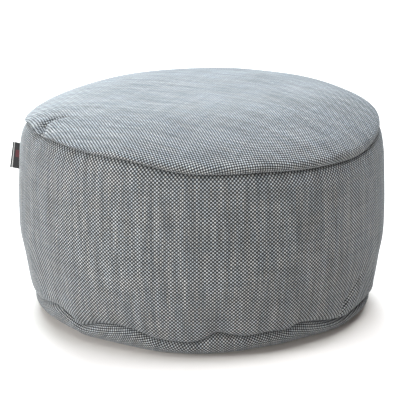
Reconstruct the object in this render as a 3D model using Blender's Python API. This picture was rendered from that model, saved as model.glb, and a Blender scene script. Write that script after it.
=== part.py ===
"""A round outdoor pouf of woven cloth, filled with loose beads, standing on its base.

The maker's panels are a top disc, a boxing strip in two halves, and a base disc, with a small folded label
in the left upright seam. Each panel is a solid of the cloth with the filling behind it, so together they
are the one filled form: crowned on top, swelling between the seams and drawn in at them. Metres, +Z up.
The origin is the centre of the flat underside. The front looks along -Y, and the label is at -X.
"""

import bmesh
import bpy
import numpy as np

# Driving dimensions
BELLY_RADIUS = 0.300
APEX_HEIGHT = 0.359
GAP = 0.0003

# The seams pull the cloth in along a narrow crease.
TOP_CREASE = 0.0050
TOP_CREASE_REACH = 0.0050
LOW_CREASE_REACH = 0.0035
RIM_CREASE_REACH = 0.0042
UPRIGHT_CREASE = 0.0035
UPRIGHT_CREASE_REACH = 0.0045

# The top panel puffs over its seam as a soft lip.
LIP_PROUD = 0.0022
LIP_SWEEP = 0.70 * np.pi
CROWN_FALL_POWER = 1.22
BASE_RIM_POWER = 2.2

# The label is a folded strip that stands out of the left upright seam. Its root sits in the crease there.
LABEL_THICKNESS = 0.0012
LABEL_SEAT = 0.0010
LABEL_CURL = 0.0012
LABEL_ROOT_TOP = 0.2722
LABEL_ROOT_BOTTOM = 0.2284
LABEL_FOLD_TOP = (-0.3072, 0.2756)
LABEL_FOLD_BOTTOM = (-0.3131, 0.2322)
LABEL_AZIMUTH = 180.0

# How many points the label has across a face, down its length, and round its fold with the two ends.
LABEL_ACROSS = 7
LABEL_DOWN = 6
LABEL_ROUND = 6

# One row for each upright section round the pouf, in degrees from +X and millimetres. The low radius is
# where the lower seam runs, and the foot is where the rim of the base meets the floor.
SECTION_COLUMNS = (
    "azimuth", "top_height", "top_radius", "lip_rise", "swell", "low_radius", "low_crease", "foot_radius",
    "crown_power"
)
SECTIONS = (
    (0, 305.0, 286.5, 12.0, 15.5, 277.2, 11.0, 241.0, 3.0),
    (22, 308.5, 287.0, 10.5, 14.5, 279.0, 6.0, 241.0, 3.1),
    (50, 310.0, 286.5, 10.5, 15.0, 279.0, 5.0, 241.0, 3.2),
    (80, 308.0, 286.0, 9.5, 15.5, 279.0, 5.5, 240.0, 3.1),
    (110, 305.0, 286.0, 9.0, 16.0, 279.0, 5.0, 241.0, 3.0),
    (145, 302.5, 286.0, 8.0, 17.0, 278.0, 5.0, 242.0, 2.9),
    (178, 308.5, 285.5, 5.5, 18.0, 275.6, 6.0, 245.0, 2.7),
    (194, 321.5, 283.5, 4.5, 18.0, 275.1, 6.5, 240.0, 2.7),
    (205, 317.5, 283.5, 5.0, 18.0, 275.1, 7.5, 234.0, 2.7),
    (214, 321.5, 285.0, 5.0, 17.5, 275.1, 8.0, 231.0, 2.8),
    (228, 319.0, 286.0, 6.0, 16.0, 276.1, 9.5, 229.0, 2.9),
    (246, 318.0, 286.0, 6.5, 16.0, 276.6, 8.0, 238.0, 2.9),
    (254, 311.5, 286.0, 8.0, 16.0, 277.5, 8.5, 246.0, 2.9),
    (263, 303.5, 286.0, 10.5, 16.0, 277.0, 8.5, 245.0, 2.9),
    (275, 301.0, 286.0, 11.5, 16.0, 277.0, 10.0, 248.0, 2.9),
    (291, 300.0, 286.0, 12.0, 16.0, 277.5, 8.5, 229.0, 2.9),
    (302, 296.0, 286.0, 13.0, 16.0, 276.2, 8.5, 226.5, 2.9),
    (318, 293.0, 286.0, 14.0, 15.5, 275.2, 8.5, 222.5, 3.0),
    (332, 291.0, 286.0, 15.0, 15.0, 276.2, 10.0, 227.0, 3.0),
    (345, 297.5, 286.5, 13.5, 15.0, 279.2, 13.0, 229.0, 3.0),
)

# The height of the lower seam, which wanders as the base rolls up, in degrees from +X and millimetres.
LOW_SEAM_COLUMNS = ("azimuth", "height")
LOW_SEAM = (
    (0, 31.0),
    (25, 34.0),
    (48, 30.0),
    (75, 36.0),
    (102, 31.0),
    (128, 36.0),
    (155, 33.0),
    (180, 29.0),
    (197, 31.0),
    (208, 40.5),
    (214, 42.0),
    (220, 34.5),
    (225, 25.5),
    (231, 34.5),
    (240, 40.5),
    (247, 37.5),
    (254, 28.0),
    (262, 24.5),
    (267, 24.0),
    (271, 30.5),
    (275, 40.5),
    (279, 36.5),
    (284, 32.0),
    (293, 34.5),
    (300, 33.5),
    (304, 39.5),
    (311, 37.0),
    (318, 30.0),
    (325, 25.0),
    (336, 29.0),
    (348, 33.0),
)

# How the strip swells between its seams, as shares of the strip's height and of the swell.
SWELL_COLUMNS = ("height_share", "swell_share")
SWELL = (
    (0.00, 0.02),
    (0.05, 0.26),
    (0.14, 0.52),
    (0.24, 0.74),
    (0.35, 1.02),
    (0.50, 1.02),
    (0.66, 0.90),
    (0.80, 0.78),
    (0.88, 0.66),
    (0.94, 0.45),
    (1.00, 0.04),
)

# Creases and ridges of the strip: each runs straight from its foot to its head. Degrees from +X,
# millimetres; a positive depth is a crease, a negative one a ridge.
SIDE_FOLD_COLUMNS = ("foot_azimuth", "foot_height", "head_azimuth", "head_height", "depth", "half_width")
SIDE_FOLDS = (
    (322.0, 20.0, 325.0, 64.0, 9.5, 4.8),
    (324.3, 52.0, 333.5, 104.0, 5.5, 5.5),
    (327.5, 28.0, 336.0, 96.0, -3.5, 6.0),
    (347.0, 40.0, 342.0, 84.0, -4.5, 11.0),
    (206.3, 44.0, 201.6, 88.0, -1.6, 5.0),
    (214.7, 44.0, 212.5, 90.0, -1.5, 5.0),
    (210.5, 42.0, 207.0, 78.0, 1.8, 6.0),
    (249.8, 33.0, 248.2, 77.0, 1.4, 6.0),
    (265.0, 22.0, 264.0, 40.0, 2.4, 4.0),
    (271.0, 28.0, 272.5, 46.0, 3.0, 4.5),
    (277.5, 36.0, 279.0, 54.0, 2.2, 6.0),
    (120.0, 30.0, 116.0, 84.0, 2.6, 7.0),
    (52.0, 30.0, 57.0, 70.0, 2.2, 7.0),
)

# Tucks and dents of the top panel: each runs straight between two points of the plan, in millimetres.
TOP_FOLD_COLUMNS = ("start_x", "start_y", "end_x", "end_y", "depth", "half_width")
TOP_FOLDS = (
    (-255.0, -138.0, -252.0, -98.0, 7.0, 5.0),
    (-248.5, -91.0, -238.0, -86.5, 4.5, 5.0),
    (-231.0, -85.0, -220.0, -86.0, 2.5, 6.0),
    (-238.0, -124.0, -230.0, -102.0, -3.2, 8.0),
    (-266.0, -98.0, -258.0, -78.0, -1.8, 8.0),
    (150.0, -228.0, 196.0, -196.0, 1.5, 12.0),
    (-60.0, 30.0, 60.0, 60.0, 1.5, 70.0),
    (120.0, 245.0, 160.0, 215.0, 1.6, 12.0),
)

CLOTH_COLOUR = (0.24, 0.26, 0.27, 1.0)
CLOTH_ROUGHNESS = 0.85
LABEL_COLOUR = (0.02, 0.02, 0.022, 1.0)
LABEL_ROUGHNESS = 0.6

# The folds fade towards the two seams of the strip, and from their foot to their head.
FOLD_FADE_RATE = 4.0
FOLD_FADE_LEAST = 0.3
FOLD_TAPER_POWER = 0.7

MM = 0.001

# The columns of points round the pouf, in degrees, and how far from an upright seam the nearest ones stand.
COLUMN_STEP = 4.0
FINE_STEP = 1.5
FINE_SPANS = ((194, 217), (222, 229), (259, 282), (318, 345))
NEAR_SEAM = (GAP / 2, 0.003, 0.007)
NEAR_SEAM_CLEAR = 0.8
CREASE_ANGLE = 50.0


def column(table, names, name):
    """One named column of a table."""
    return np.array([row[names.index(name)] for row in table], float)


def around(table, names, name, azimuth):
    """A column carried round the circle on cubic arcs, whose slopes come from the rows on each side."""
    x, y = column(table, names, "azimuth"), column(table, names, name)
    x = np.concatenate([x[-2:] - 360, x, x[:2] + 360])
    y = np.concatenate([y[-2:], y, y[:2]])
    return along(x, y, np.mod(azimuth, 360.0))


def along(x, y, at):
    """Cubic arcs through the points (x, y), whose slopes come from the points on each side."""
    slope = np.gradient(y, x)
    i = np.clip(np.searchsorted(x, at, side="right") - 1, 0, len(x) - 2)
    step = x[i + 1] - x[i]
    t = np.clip((at - x[i]) / step, 0, 1)
    rise = y[i] * (2 * t**3 - 3 * t**2 + 1) + y[i + 1] * (3 * t**2 - 2 * t**3)
    return rise + step * (slope[i] * (t**3 - 2 * t**2 + t) + slope[i + 1] * (t**3 - t**2))


def section(azimuth):
    """Every measure of the upright section at each azimuth, in metres."""
    out = {n: around(SECTIONS, SECTION_COLUMNS, n, azimuth) for n in SECTION_COLUMNS[1:]}
    power = out.pop("crown_power")
    out = {n: v * MM for n, v in out.items()}
    out["low_height"] = around(LOW_SEAM, LOW_SEAM_COLUMNS, "height", azimuth) * MM
    out["crown_power"] = power
    return out


def trough(across, reach):
    """A soft trough of depth 1: the square of across over its reach, as a bell."""
    return np.exp(-((across / reach) ** 2))


def arc_length(turn):
    """Millimetres round the belly for a turn in degrees."""
    return np.radians(turn) * BELLY_RADIUS / MM


def along_fold(x, z, run):
    """For points measured from a fold's start: the share of its run beside them, and how far off they lie."""
    share = np.clip((x * run[0] + z * run[1]) / (run[0] ** 2 + run[1] ** 2), 0, 1)
    return share, np.hypot(x - share * run[0], z - share * run[1])


def side_fold_depth(azimuth, height):
    """How far the folds press the strip in, at each azimuth and height, in metres."""
    total = np.zeros(np.broadcast(azimuth, height).shape)
    for row in SIDE_FOLDS:
        fold = dict(zip(SIDE_FOLD_COLUMNS, row))
        x = arc_length(np.mod(azimuth - fold["foot_azimuth"] + 180, 360) - 180)
        z = height / MM - fold["foot_height"]
        lean = arc_length(fold["head_azimuth"] - fold["foot_azimuth"])
        run = (lean, fold["head_height"] - fold["foot_height"])
        share, apart = along_fold(x, z, run)
        taper = (1 - share) ** FOLD_TAPER_POWER
        total += fold["depth"] * MM * trough(apart, fold["half_width"]) * taper
    return total


def top_fold_depth(x, y):
    """How far the tucks and dents press the top panel in, at each point of the plan, in metres."""
    total = np.zeros(np.broadcast(x, y).shape)
    for row in TOP_FOLDS:
        fold = dict(zip(TOP_FOLD_COLUMNS, row))
        run = (fold["end_x"] - fold["start_x"], fold["end_y"] - fold["start_y"])
        share, apart = along_fold(x / MM - fold["start_x"], y / MM - fold["start_y"], run)
        total += fold["depth"] * MM * trough(apart, fold["half_width"])
    return total


def upright_crease(azimuth):
    """How far the two upright seams pull the strip in, at each azimuth."""
    to_seam = np.abs(np.mod(azimuth + 90, 180) - 90)
    return UPRIGHT_CREASE * np.exp(-np.radians(to_seam) * BELLY_RADIUS / UPRIGHT_CREASE_REACH)


def side_surface(azimuth, share):
    """The strip's outside: radius and height at each azimuth and share of the way up between the seams."""
    s = section(azimuth)
    rise = s["top_height"] - s["low_height"]
    height = s["low_height"] + rise * share
    at, out = (column(SWELL, SWELL_COLUMNS, name) for name in SWELL_COLUMNS)
    swell = along(at, out, share)
    radius = s["low_radius"] + (s["top_radius"] - s["low_radius"]) * share + s["swell"] * swell
    radius = radius - TOP_CREASE * np.exp(-rise * (1 - share) / TOP_CREASE_REACH)
    radius = radius - s["low_crease"] * np.exp(-rise * share / LOW_CREASE_REACH)
    fade = np.minimum(1, FOLD_FADE_RATE * np.minimum(share, 1 - share) + FOLD_FADE_LEAST)
    radius = radius - side_fold_depth(azimuth, height) * fade - upright_crease(azimuth) * fade
    return radius, height


def top_surface(azimuth, lip, reach):
    """The top panel's outside. lip goes from 0 in the crease to 1 where the lip has rounded over, on an arc
    of an ellipse; reach then goes from 1 at the lip to 0 at the centre, on a flattened dome."""
    s = section(azimuth)
    floor = s["top_radius"] - TOP_CREASE
    proud = s["top_radius"] + LIP_PROUD
    turn = lip * LIP_SWEEP
    radius = (floor + (proud - floor) * np.sin(turn)) * reach
    lip_height = s["top_height"] + s["lip_rise"] * (1 - np.cos(turn)) / (1 - np.cos(LIP_SWEEP))
    dome = np.clip(1 - reach ** s["crown_power"], 0, 1) ** (1 / CROWN_FALL_POWER)
    height = lip_height + (APEX_HEIGHT - lip_height) * dome
    return radius, height


def base_surface(azimuth, drop):
    """The rim of the base, from drop 0 in the lower crease to 1 at the floor, on a quarter of a squarish
    ellipse."""
    s = section(azimuth)
    height = s["low_height"] * (1 - drop)
    run = np.clip(1 - drop**BASE_RIM_POWER, 0, 1) ** (1 / BASE_RIM_POWER)
    radius = s["foot_radius"] + (s["low_radius"] - s["foot_radius"]) * run
    radius = radius - s["low_crease"] * np.exp(-s["low_height"] * drop / RIM_CREASE_REACH)
    return radius, height


def columns(first, last):
    """Azimuths from first to last, closer where the folds are, and close by the upright seams."""
    keep = np.arange(first, last, COLUMN_STEP)
    fine = [np.arange(a, b, FINE_STEP) for a, b in FINE_SPANS if a > first and b < last]
    for span in fine:
        keep = keep[(keep < span[0] - FINE_STEP) | (keep > span[-1] + FINE_STEP)]
    by_seam = np.degrees(np.array(NEAR_SEAM) / BELLY_RADIUS)
    clear = by_seam[-1] + NEAR_SEAM_CLEAR
    keep = keep[(keep > first + clear) & (keep < last - clear)]
    return np.sort(np.concatenate([keep, *fine, first + by_seam, last - by_seam]))


FRONT = columns(180.0, 360.0)
BACK = columns(0.0, 180.0)
ALL = np.concatenate([BACK, FRONT])

SIDE_SHARES = np.array([0, 0.015, 0.05, 0.1, 0.17, 0.28, 0.48, 0.68, 0.83, 0.925, 0.98, 1])
LIP_SHARES = np.array([0, 0.3, 0.55, 0.8, 1])
CROWN_REACH = np.array([0.99, 0.965, 0.92, 0.84, 0.7, 0.48, 0.22])
BASE_DROPS = np.array([0, 0.15, 0.45, 0.8, 1])
INNER_REACH = np.array([0.94, 0.6])

# The mean height of a seam is taken at steps of so many degrees.
LEVEL_STEP = 5.0


def strip(a, b, closed):
    """Triangles between two rows of vertex numbers, both split along the same diagonal."""
    n = len(a) if closed else len(a) - 1
    i = np.arange(n)
    j = (i + 1) % len(a)
    one = np.stack([a[i], a[j], b[j]], 1)
    two = np.stack([a[i], b[j], b[i]], 1)
    return np.concatenate([one, two])


def fan(row, tip, closed):
    """Triangles from a row of vertex numbers to one point."""
    n = len(row) if closed else len(row) - 1
    i = np.arange(n)
    return np.stack([row[i], row[(i + 1) % len(row)], np.full(n, tip)], 1)


def face_between(height_name, edge_height, reach):
    """Height of the inner face behind a seam: the seam's own height at the edge, levelling to the
    seam's mean height at the centre with the square of the reach."""
    level = float(np.mean(section(np.arange(0, 360, LEVEL_STEP))[height_name]))
    return level + (edge_height - level) * reach**2


class Solid:
    """Rows of points and the triangles between them, which become one closed body."""

    def __init__(self):
        self.points = []
        self.faces = []
        self.count = 0

    def row(self, x, y, z):
        """Adds one row of points and returns their numbers."""
        x, y, z = np.broadcast_arrays(x, y, z)
        self.points.append(np.stack([x, y, z], -1).reshape(-1, 3))
        self.count += x.size
        return np.arange(self.count - x.size, self.count)

    def add(self, triangles):
        self.faces.append(triangles)

    def build(self, name, colour, roughness):
        """The mesh object, with its faces turned outwards and its own material."""
        mesh = bpy.data.meshes.new(name)
        faces = [tuple(int(v) for v in f) for group in self.faces for f in group]
        mesh.from_pydata(np.concatenate(self.points).tolist(), [], faces)
        work = bmesh.new()
        work.from_mesh(mesh)
        bmesh.ops.triangulate(work, faces=work.faces)
        bmesh.ops.recalc_face_normals(work, faces=work.faces)
        work.to_mesh(mesh)
        work.free()
        mesh.shade_smooth()
        mesh.set_sharp_from_angle(angle=np.radians(CREASE_ANGLE))
        mesh.materials.append(material(name + "_cloth", colour, roughness))
        made = bpy.data.objects.new(name, mesh)
        bpy.context.collection.objects.link(made)
        return made


def material(name, colour, roughness):
    """A plain Principled cloth."""
    made = bpy.data.materials.new(name)
    made.use_nodes = True
    shader = made.node_tree.nodes["Principled BSDF"]
    shader.inputs["Base Color"].default_value = colour
    shader.inputs["Roughness"].default_value = roughness
    shader.inputs["Metallic"].default_value = 0.0
    return made


def plan(azimuth, radius, wall=None):
    """X and Y of points on the section planes. With a wall, the end columns lie on the plane y = wall."""
    x, y = radius * np.cos(np.radians(azimuth)), radius * np.sin(np.radians(azimuth))
    if wall is not None:
        y = y.copy()
        y[[0, -1]] = wall
    return x, y


def inner_face(solid, edge, height_name, shift, closed, wall=0.0):
    """Closes a solid behind a seam, from its edge row to a point on the axis."""
    points = np.concatenate(solid.points)[edge]
    edge_height = points[:, 2] - shift
    before, rows = edge, []
    for reach in INNER_REACH:
        z = face_between(height_name, edge_height, reach) + shift
        row = solid.row(points[:, 0] * reach, wall + (points[:, 1] - wall) * reach, z)
        solid.add(strip(before, row, closed))
        before = row
        rows.append(row)
    tip = solid.row(0.0, wall, face_between(height_name, 0.0, 0.0) + shift)[0]
    solid.add(fan(before, tip, closed))
    return rows, tip


def make_top_panel():
    """The crowned disc, from the crease under its lip to the centre of the crown."""
    solid = Solid()
    rows = []
    for lip in LIP_SHARES:
        radius, height = top_surface(ALL, lip, 1.0)
        rows.append(solid.row(*plan(ALL, radius), height + GAP / 2))
    for reach in CROWN_REACH:
        radius, height = top_surface(ALL, 1.0, reach)
        x, y = plan(ALL, radius)
        rows.append(solid.row(x, y, height - top_fold_depth(x, y)))
    for a, b in zip(rows, rows[1:]):
        solid.add(strip(a, b, True))
    tip = solid.row(0.0, 0.0, APEX_HEIGHT - float(top_fold_depth(0.0, 0.0)))[0]
    solid.add(fan(rows[-1], tip, True))
    inner_face(solid, rows[0], "top_height", GAP / 2, True)
    return solid.build("top_panel", CLOTH_COLOUR, CLOTH_ROUGHNESS)


def make_side_panel(name, azimuth, wall):
    """Half of the strip, with the filling behind it as far as the plane of the two upright seams."""
    solid = Solid()
    rows = []
    for share in SIDE_SHARES:
        radius, height = side_surface(azimuth, share)
        height = height + (GAP / 2 if share == 0 else -GAP / 2 if share == 1 else 0)
        rows.append(solid.row(*plan(azimuth, radius, wall), height))
    for a, b in zip(rows, rows[1:]):
        solid.add(strip(a, b, False))
    low, low_tip = inner_face(solid, rows[0], "low_height", GAP / 2, False, wall)
    top, top_tip = inner_face(solid, rows[-1], "top_height", -GAP / 2, False, wall)
    left = [row[0] for row in rows] + [row[0] for row in top] + [top_tip]
    right = [row[-1] for row in top[::-1]] + [row[-1] for row in rows[::-1]]
    low_ends = [row[-1] for row in low] + [low_tip] + [row[0] for row in low[::-1]]
    solid.add([left + right + low_ends])
    return solid.build(name, CLOTH_COLOUR, CLOTH_ROUGHNESS)


def make_base_panel():
    """The base disc: its rim rolls up to the lower seam, and its underside is flat on the floor."""
    solid = Solid()
    rows = []
    for drop in BASE_DROPS:
        radius, height = base_surface(ALL, drop)
        rows.append(solid.row(*plan(ALL, radius), height - (GAP / 2 if drop == 0 else 0)))
    for a, b in zip(rows, rows[1:]):
        solid.add(strip(a, b, True))
    solid.add(fan(rows[-1], solid.row(0.0, 0.0, 0.0)[0], True))
    inner_face(solid, rows[0], "low_height", -GAP / 2, True)
    return solid.build("base_panel", CLOTH_COLOUR, CLOTH_ROUGHNESS)


def label_root(height):
    """A point of the label's root: just outside the floor of the left upright crease, at this height."""
    s = section(np.array(LABEL_AZIMUTH))
    share = (height - s["low_height"]) / (s["top_height"] - s["low_height"])
    radius, _ = side_surface(np.array(LABEL_AZIMUTH), share)
    return np.array([-float(radius) - LABEL_SEAT, 0.0, height])


def make_label():
    """A strip folded once round its outer edge: two faces with a half-round fold, closed at its ends."""
    across = np.linspace(0, 1, LABEL_ACROSS)
    down = np.linspace(0, 1, LABEL_DOWN)
    turn = np.linspace(-np.pi / 2, np.pi / 2, LABEL_ROUND)[1:-1]
    half = LABEL_THICKNESS / 2
    fold_top = np.array([LABEL_FOLD_TOP[0], 0.0, LABEL_FOLD_TOP[1]])
    fold_bottom = np.array([LABEL_FOLD_BOTTOM[0], 0.0, LABEL_FOLD_BOTTOM[1]])
    solid = Solid()
    rows = []
    for d in down:
        root = label_root(LABEL_ROOT_TOP * (1 - d) + LABEL_ROOT_BOTTOM * d)
        fold = fold_top * (1 - d) + fold_bottom * d
        out = (fold - root) / np.linalg.norm(fold - root)
        middle = root + (fold - out * half - root) * across[:, None]
        bend = -LABEL_CURL * across**2
        front = middle + np.stack([0 * bend, bend - half, 0 * bend], 1)
        back = middle + np.stack([0 * bend, bend + half, 0 * bend], 1)
        round_y = middle[-1, 1] + bend[-1] + half * np.sin(turn)
        edge = middle[-1] + out * (half * np.cos(turn))[:, None]
        edge[:, 1] = round_y
        loop = np.concatenate([front, edge, back[::-1]])
        rows.append(solid.row(*loop.T))
    for a, b in zip(rows, rows[1:]):
        solid.add(strip(a, b, True))
    n, m = len(across), len(turn)
    for row in (rows[0], rows[-1]):
        fronts, rounds, backs = row[:n], row[n : n + m], row[n + m :][::-1]
        solid.add(strip(fronts, backs, False))
        solid.add([[fronts[-1], *rounds, backs[-1]]])
    return solid.build("side_label", LABEL_COLOUR, LABEL_ROUGHNESS)


def clear_scene():
    for old in list(bpy.data.objects):
        bpy.data.objects.remove(old, do_unlink=True)


def main():
    clear_scene()
    make_top_panel()
    make_side_panel("side_panel_front", FRONT, -GAP / 2)
    make_side_panel("side_panel_back", BACK, GAP / 2)
    make_base_panel()
    make_label()


main()
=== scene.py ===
"""Looks of a round outdoor pouf of two-tone woven cloth, softly filled, on a white studio floor.

Each panel of the cover is one closed surface made from formulas. The measures are those of the solids, and
the cloth adds puckers at its seams, small dents, and the raised floats of its weave. Metres, +Z up. The
front looks along -Y, and the label is at -X.
"""

import bmesh
import bpy
import numpy as np
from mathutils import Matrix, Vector
from mathutils.geometry import delaunay_2d_cdt


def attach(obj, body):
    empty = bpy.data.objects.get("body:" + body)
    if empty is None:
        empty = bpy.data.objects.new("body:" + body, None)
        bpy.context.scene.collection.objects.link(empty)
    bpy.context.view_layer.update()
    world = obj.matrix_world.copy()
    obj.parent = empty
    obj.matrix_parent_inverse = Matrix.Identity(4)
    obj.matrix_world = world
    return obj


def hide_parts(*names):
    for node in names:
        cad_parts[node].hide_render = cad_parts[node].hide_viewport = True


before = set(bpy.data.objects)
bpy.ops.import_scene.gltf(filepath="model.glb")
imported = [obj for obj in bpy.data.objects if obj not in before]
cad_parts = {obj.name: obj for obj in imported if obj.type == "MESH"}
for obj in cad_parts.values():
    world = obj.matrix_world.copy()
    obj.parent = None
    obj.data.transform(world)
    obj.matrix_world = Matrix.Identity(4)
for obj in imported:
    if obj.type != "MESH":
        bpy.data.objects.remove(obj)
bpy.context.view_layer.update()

# Driving dimensions
BELLY_RADIUS = 0.300
APEX_HEIGHT = 0.359
GAP = 0.0003

# The seams pull the cloth in along a narrow crease.
TOP_CREASE = 0.0050
TOP_CREASE_REACH = 0.0050
LOW_CREASE_REACH = 0.0035
RIM_CREASE_REACH = 0.0042
UPRIGHT_CREASE = 0.0035
UPRIGHT_CREASE_REACH = 0.0045

# The top panel puffs over its seam as a soft lip.
LIP_PROUD = 0.0022
LIP_SWEEP = 0.70 * np.pi
CROWN_FALL_POWER = 1.22
BASE_RIM_POWER = 2.2

# The label is a folded strip that stands out of the left upright seam. Its root sits in the crease there.
LABEL_THICKNESS = 0.0012
LABEL_SEAT = 0.0010
LABEL_CURL = 0.0012
LABEL_ROOT_TOP = 0.2722
LABEL_ROOT_BOTTOM = 0.2284
LABEL_FOLD_TOP = (-0.3072, 0.2756)
LABEL_FOLD_BOTTOM = (-0.3131, 0.2322)
LABEL_AZIMUTH = 180.0

# One row for each upright section round the pouf, in degrees from +X and millimetres. The low radius is
# where the lower seam runs, and the foot is where the rim of the base meets the floor.
SECTION_COLUMNS = (
    "azimuth", "top_height", "top_radius", "lip_rise", "swell", "low_radius", "low_crease", "foot_radius",
    "crown_power"
)
SECTIONS = (
    (0, 305.0, 286.5, 12.0, 15.5, 277.2, 11.0, 241.0, 3.0),
    (22, 308.5, 287.0, 10.5, 14.5, 279.0, 6.0, 241.0, 3.1),
    (50, 310.0, 286.5, 10.5, 15.0, 279.0, 5.0, 241.0, 3.2),
    (80, 308.0, 286.0, 9.5, 15.5, 279.0, 5.5, 240.0, 3.1),
    (110, 305.0, 286.0, 9.0, 16.0, 279.0, 5.0, 241.0, 3.0),
    (145, 302.5, 286.0, 8.0, 17.0, 278.0, 5.0, 242.0, 2.9),
    (178, 308.5, 285.5, 5.5, 18.0, 275.6, 6.0, 245.0, 2.7),
    (194, 321.5, 283.5, 4.5, 18.0, 275.1, 6.5, 240.0, 2.7),
    (205, 317.5, 283.5, 5.0, 18.0, 275.1, 7.5, 234.0, 2.7),
    (214, 321.5, 285.0, 5.0, 17.5, 275.1, 8.0, 231.0, 2.8),
    (228, 319.0, 286.0, 6.0, 16.0, 276.1, 9.5, 229.0, 2.9),
    (246, 318.0, 286.0, 6.5, 16.0, 276.6, 8.0, 238.0, 2.9),
    (254, 311.5, 286.0, 8.0, 16.0, 277.5, 8.5, 246.0, 2.9),
    (263, 303.5, 286.0, 10.5, 16.0, 277.0, 8.5, 245.0, 2.9),
    (275, 301.0, 286.0, 11.5, 16.0, 277.0, 10.0, 248.0, 2.9),
    (291, 300.0, 286.0, 12.0, 16.0, 277.5, 8.5, 229.0, 2.9),
    (302, 296.0, 286.0, 13.0, 16.0, 276.2, 8.5, 226.5, 2.9),
    (318, 293.0, 286.0, 14.0, 15.5, 275.2, 8.5, 222.5, 3.0),
    (332, 291.0, 286.0, 15.0, 15.0, 276.2, 10.0, 227.0, 3.0),
    (345, 297.5, 286.5, 13.5, 15.0, 279.2, 13.0, 229.0, 3.0),
)

# The height of the lower seam, which wanders as the base rolls up, in degrees from +X and millimetres.
LOW_SEAM_COLUMNS = ("azimuth", "height")
LOW_SEAM = (
    (0, 31.0),
    (25, 34.0),
    (48, 30.0),
    (75, 36.0),
    (102, 31.0),
    (128, 36.0),
    (155, 33.0),
    (180, 29.0),
    (197, 31.0),
    (208, 40.5),
    (214, 42.0),
    (220, 34.5),
    (225, 25.5),
    (231, 34.5),
    (240, 40.5),
    (247, 37.5),
    (254, 28.0),
    (262, 24.5),
    (267, 24.0),
    (271, 30.5),
    (275, 40.5),
    (279, 36.5),
    (284, 32.0),
    (293, 34.5),
    (300, 33.5),
    (304, 39.5),
    (311, 37.0),
    (318, 30.0),
    (325, 25.0),
    (336, 29.0),
    (348, 33.0),
)

# How the strip swells between its seams, as shares of the strip's height and of the swell.
SWELL_COLUMNS = ("height_share", "swell_share")
SWELL = (
    (0.00, 0.02),
    (0.05, 0.26),
    (0.14, 0.52),
    (0.24, 0.74),
    (0.35, 1.02),
    (0.50, 1.02),
    (0.66, 0.90),
    (0.80, 0.78),
    (0.88, 0.66),
    (0.94, 0.45),
    (1.00, 0.04),
)

# Creases and ridges of the strip: each runs straight from its foot to its head. Degrees from +X,
# millimetres; a positive depth is a crease, a negative one a ridge.
SIDE_FOLD_COLUMNS = ("foot_azimuth", "foot_height", "head_azimuth", "head_height", "depth", "half_width")
SIDE_FOLDS = (
    (322.0, 20.0, 325.0, 64.0, 9.5, 4.8),
    (324.3, 52.0, 333.5, 104.0, 5.5, 5.5),
    (327.5, 28.0, 336.0, 96.0, -3.5, 6.0),
    (347.0, 40.0, 342.0, 84.0, -4.5, 11.0),
    (206.3, 44.0, 201.6, 88.0, -1.6, 5.0),
    (214.7, 44.0, 212.5, 90.0, -1.5, 5.0),
    (210.5, 42.0, 207.0, 78.0, 1.8, 6.0),
    (249.8, 33.0, 248.2, 77.0, 1.4, 6.0),
    (265.0, 22.0, 264.0, 40.0, 2.4, 4.0),
    (271.0, 28.0, 272.5, 46.0, 3.0, 4.5),
    (277.5, 36.0, 279.0, 54.0, 2.2, 6.0),
    (120.0, 30.0, 116.0, 84.0, 2.6, 7.0),
    (52.0, 30.0, 57.0, 70.0, 2.2, 7.0),
)

# Tucks and dents of the top panel: each runs straight between two points of the plan, in millimetres.
TOP_FOLD_COLUMNS = ("start_x", "start_y", "end_x", "end_y", "depth", "half_width")
TOP_FOLDS = (
    (-255.0, -138.0, -252.0, -98.0, 7.0, 5.0),
    (-248.5, -91.0, -238.0, -86.5, 4.5, 5.0),
    (-231.0, -85.0, -220.0, -86.0, 2.5, 6.0),
    (-238.0, -124.0, -230.0, -102.0, -3.2, 8.0),
    (-266.0, -98.0, -258.0, -78.0, -1.8, 8.0),
    (150.0, -228.0, 196.0, -196.0, 1.5, 12.0),
    (-60.0, 30.0, 60.0, 60.0, 1.5, 70.0),
    (120.0, 245.0, 160.0, 215.0, 1.6, 12.0),
)

# The folds fade towards the two seams of the strip, and from their foot to their head.
FOLD_FADE_RATE = 4.0
FOLD_FADE_LEAST = 0.3
FOLD_TAPER_POWER = 0.7

MM = 0.001


def column(table, names, name):
    """One named column of a table."""
    return np.array([row[names.index(name)] for row in table], float)


def around(table, names, name, azimuth):
    """A column carried round the circle on cubic arcs, whose slopes come from the rows on each side."""
    x, y = column(table, names, "azimuth"), column(table, names, name)
    x = np.concatenate([x[-2:] - 360, x, x[:2] + 360])
    y = np.concatenate([y[-2:], y, y[:2]])
    return along(x, y, np.mod(azimuth, 360.0))


def along(x, y, at):
    """Cubic arcs through the points (x, y), whose slopes come from the points on each side."""
    slope = np.gradient(y, x)
    i = np.clip(np.searchsorted(x, at, side="right") - 1, 0, len(x) - 2)
    step = x[i + 1] - x[i]
    t = np.clip((at - x[i]) / step, 0, 1)
    rise = y[i] * (2 * t**3 - 3 * t**2 + 1) + y[i + 1] * (3 * t**2 - 2 * t**3)
    return rise + step * (slope[i] * (t**3 - 2 * t**2 + t) + slope[i + 1] * (t**3 - t**2))


def section(azimuth):
    """Every measure of the upright section at each azimuth, in metres."""
    out = {n: around(SECTIONS, SECTION_COLUMNS, n, azimuth) for n in SECTION_COLUMNS[1:]}
    power = out.pop("crown_power")
    out = {n: v * MM for n, v in out.items()}
    out["low_height"] = around(LOW_SEAM, LOW_SEAM_COLUMNS, "height", azimuth) * MM
    out["crown_power"] = power
    return out


def trough(across, reach):
    """A soft trough of depth 1: the square of across over its reach, as a bell."""
    return np.exp(-((across / reach) ** 2))


def arc_length(turn):
    """Millimetres round the belly for a turn in degrees."""
    return np.radians(turn) * BELLY_RADIUS / MM


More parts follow.
